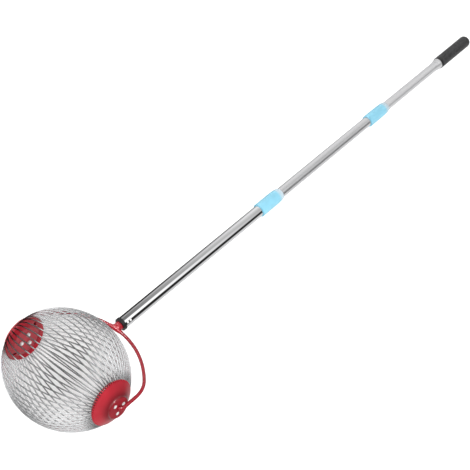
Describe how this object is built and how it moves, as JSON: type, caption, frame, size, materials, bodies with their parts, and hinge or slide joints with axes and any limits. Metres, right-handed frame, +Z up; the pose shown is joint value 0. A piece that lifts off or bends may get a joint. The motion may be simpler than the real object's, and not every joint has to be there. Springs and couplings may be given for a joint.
{
  "type": "nut gatherer",
  "caption": "Rolling nut gatherer: a ball of sprung wires that spins in a bent bail at the end of a telescopic pole with twist locks and a grip.",
  "frame": {"origin": "on the ground, below the middle of the tool as it lies with the cage and the grip's end on the floor", "axes": "+X from the cage towards the grip, +Y along the rolling axle, +Z up"},
  "size_m": [1.2614, 0.2672, 0.1967],
  "materials": {
    "wire_steel": "bright drawn spring wire",
    "red_coating": "glossy dipped coating",
    "red_plastic": "moulded, half gloss",
    "black_plastic": "moulded, satin",
    "fastener_steel": "zinc plated",
    "chrome_tube": "polished chrome plate",
    "steel_tube": "polished, softer than the lower tube",
    "aluminium_tube": "satin anodised",
    "blue_plastic": "moulded, slightly translucent",
    "grip_rubber": "fine moulded grain",
    "white_plastic": "moulded nylon"
  },
  "bodies": {
    "pole_base": {"bail": "red_coating", "pole_socket": "red_plastic", "tube_end_plug": "black_plastic", "plug_rivets": "fastener_steel", "lower_tube": "chrome_tube", "lower_collar": "blue_plastic", "left_retaining_clip": "fastener_steel", "right_retaining_clip": "fastener_steel"},
    "cage": {"cage_wires_1": "wire_steel", "cage_wires_2": "wire_steel", "cage_wires_3": "wire_steel", "left_end_cap": "red_plastic", "left_clamp_disc": "red_plastic", "left_cap_screws": "fastener_steel", "left_cap_nuts": "fastener_steel", "right_end_cap": "red_plastic", "right_clamp_disc": "red_plastic", "right_cap_screws": "fastener_steel", "right_cap_nuts": "fastener_steel"},
    "mid_pole": {"mid_tube": "steel_tube", "mid_lock_spindle": "white_plastic", "upper_collar": "blue_plastic"},
    "mid_lock": {"mid_lock_ring": "white_plastic"},
    "top_pole": {"top_tube": "aluminium_tube", "top_lock_spindle": "white_plastic", "grip_ferrule": "aluminium_tube", "handle_grip": "grip_rubber"},
    "top_lock": {"top_lock_ring": "white_plastic"}
  },
  "joints": [
    {"name": "cage_spin", "type": "hinge", "parent": "pole_base", "child": "cage", "pos_m": [-0.53223, 0, 0.09836], "axis": [0, 1, 0], "continuous": true},
    {"name": "mid_tube_slide", "type": "slide", "parent": "pole_base", "child": "mid_pole", "axis": [0.9972, 0, -0.0743], "range_m": [-0.2695, 0]},
    {"name": "top_tube_slide", "type": "slide", "parent": "mid_pole", "child": "top_pole", "axis": [0.9972, 0, -0.0743], "range_m": [-0.1715, 0]},
    {"name": "lower_lock_twist", "type": "hinge", "parent": "mid_pole", "child": "mid_lock", "pos_m": [-0.0827, 0, 0.06586], "axis": [0.9972, 0, -0.0743], "range_deg": [-25, 25]},
    {"name": "upper_lock_twist", "type": "hinge", "parent": "top_pole", "child": "top_lock", "pos_m": [0.24739, 0, 0.04127], "axis": [0.9972, 0, -0.0743], "range_deg": [-25, 25]}
  ]
}
